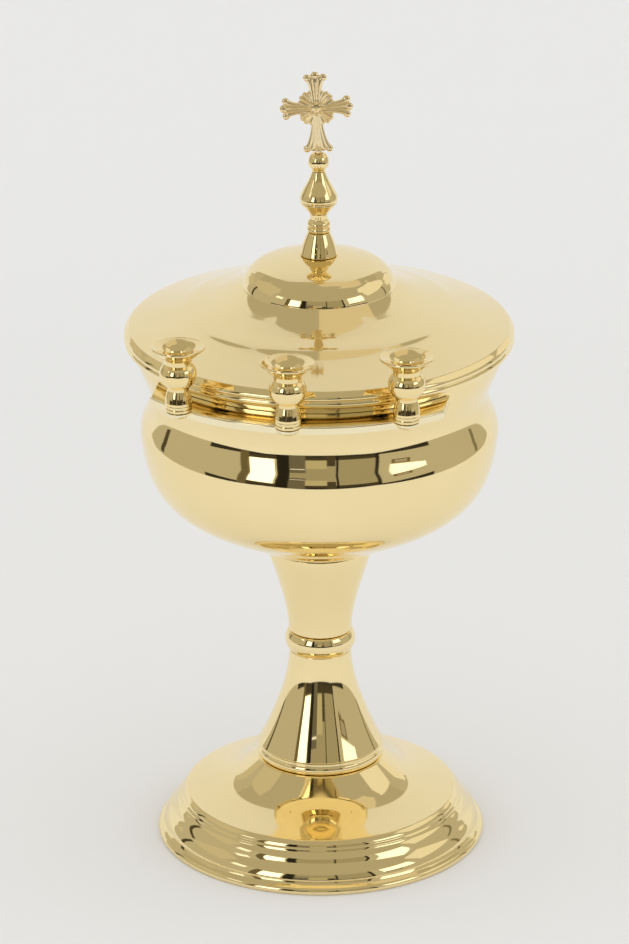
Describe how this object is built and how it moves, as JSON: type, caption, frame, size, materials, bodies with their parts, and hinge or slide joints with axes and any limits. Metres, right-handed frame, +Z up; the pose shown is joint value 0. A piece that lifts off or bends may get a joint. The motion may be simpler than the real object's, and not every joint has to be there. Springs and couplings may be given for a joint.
{
  "type": "holy water bowl",
  "caption": "Gilded brass water bowl on a stemmed foot, with a lift-off domed lid topped by a cross and a ledge of candle sockets at the front.",
  "frame": {"origin": "on the table under the middle of the part's box, sockets included; the axis of the bowl stands 14.85 mm behind it, at +Y", "axes": "+Z up along the axis of the bowl; -Y is the front, the side of the middle candle socket; +X to the right as seen from the front"},
  "size_m": [0.2198, 0.2496, 0.4596],
  "materials": {
    "polished_gilt": "spun brass, gilded and polished to a mirror",
    "gilt_turning": "turned and cast brass, gilded and polished, with small casting pits",
    "gilt_casting": "cast brass, gilded, satin",
    "plain_brass": "turned brass, left plain inside",
    "steel": "zinc plated"
  },
  "bodies": {
    "bowl": {"foot_shell": "polished_gilt", "foot_washer": "steel", "tie_rod_nut": "steel", "tie_rod": "steel", "stem_flange": "polished_gilt", "lower_stem": "polished_gilt", "stem_collar": "polished_gilt", "upper_stem": "polished_gilt", "bowl_boss": "plain_brass", "bowl_shell": "polished_gilt", "candle_ledge": "polished_gilt", "candle_socket_left": "gilt_turning", "candle_socket_centre": "gilt_turning", "candle_socket_right": "gilt_turning", "socket_screw_left": "steel", "socket_screw_centre": "steel", "socket_screw_right": "steel"},
    "lid": {"lid_shell": "polished_gilt", "lid_locating_ring": "polished_gilt", "finial_cone": "gilt_turning", "finial_ring": "gilt_turning", "finial_knop": "gilt_turning", "finial_ball": "gilt_turning", "cross": "gilt_casting", "finial_rod": "steel", "finial_washer": "steel", "finial_nut": "steel"}
  },
  "joints": [
    {"name": "lid_lift", "type": "slide", "parent": "bowl", "child": "lid", "axis": [0, 0, 1], "range_m": [0, 0.12]}
  ]
}
